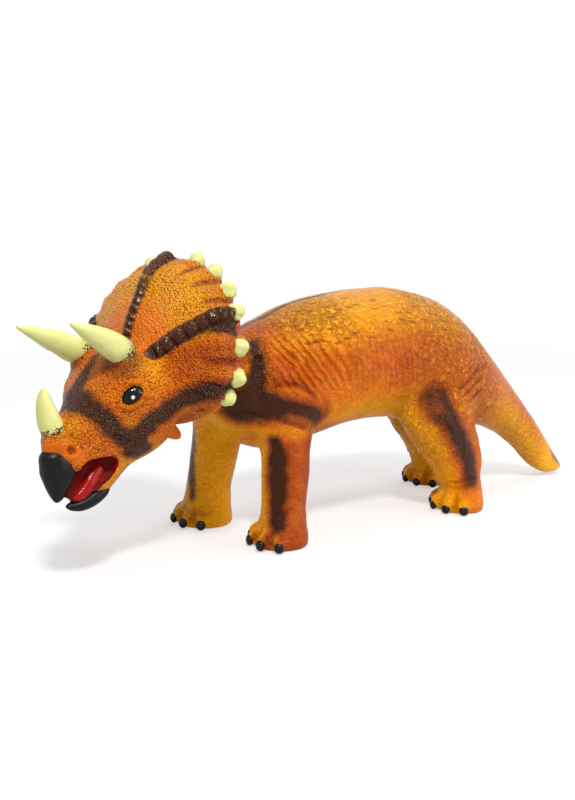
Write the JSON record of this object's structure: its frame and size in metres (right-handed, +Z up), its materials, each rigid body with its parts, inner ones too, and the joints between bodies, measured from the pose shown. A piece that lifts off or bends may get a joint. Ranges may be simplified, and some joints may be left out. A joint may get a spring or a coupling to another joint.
{
  "type": "toy dinosaur figure",
  "caption": "Standing soft vinyl toy triceratops with a turned horned head, a spiked neck frill, an open beaked mouth and a tapering tail that droops close to the floor.",
  "frame": {"origin": "on the floor, under the middle of the figure's box", "axes": "+X from head to tail, +Y to the animal's right, +Z up"},
  "size_m": [0.6072, 0.1672, 0.2556],
  "materials": {
    "skin_orange": "satin",
    "horn_ivory": "satin",
    "beak_black": "satin",
    "mouth_red": "satin",
    "tongue_red": "gloss",
    "eye_black": "gloss",
    "fibre_white": "matte"
  },
  "bodies": {
    "root": {"belly_plug": "skin_orange", "brow_horn_left": "horn_ivory", "brow_horn_right": "horn_ivory", "claw_front_left_1": "beak_black", "claw_front_left_2": "beak_black", "claw_front_left_3": "beak_black", "claw_front_left_4": "beak_black", "claw_front_right_1": "beak_black", "claw_front_right_2": "beak_black", "claw_front_right_3": "beak_black", "claw_front_right_4": "beak_black", "claw_rear_left_1": "beak_black", "claw_rear_left_2": "beak_black", "claw_rear_left_3": "beak_black", "claw_rear_left_4": "beak_black", "claw_rear_right_1": "beak_black", "claw_rear_right_2": "beak_black", "claw_rear_right_3": "beak_black", "claw_rear_right_4": "beak_black", "eye_left": "eye_black", "eye_right": "eye_black", "fibre_filling": "fibre_white", "frill_spike_left_1": "horn_ivory", "frill_spike_left_2": "horn_ivory", "frill_spike_left_3": "horn_ivory", "frill_spike_left_4": "horn_ivory", "frill_spike_left_5": "horn_ivory", "frill_spike_left_6": "horn_ivory", "frill_spike_left_7": "horn_ivory", "frill_spike_right_1": "horn_ivory", "frill_spike_right_2": "horn_ivory", "frill_spike_right_3": "horn_ivory", "frill_spike_right_4": "horn_ivory", "frill_spike_right_5": "horn_ivory", "frill_spike_right_6": "horn_ivory", "frill_spike_right_7": "horn_ivory", "front_leg_left": "skin_orange", "front_leg_right": "skin_orange", "head_skin": "skin_orange", "lower_beak": "beak_black", "mouth_lining": "mouth_red", "nose_horn": "horn_ivory", "rear_leg_left": "skin_orange", "rear_leg_right": "skin_orange", "tail_skin": "skin_orange", "tongue": "tongue_red", "torso_skin": "skin_orange", "upper_beak": "beak_black"}
  },
  "joints": []
}
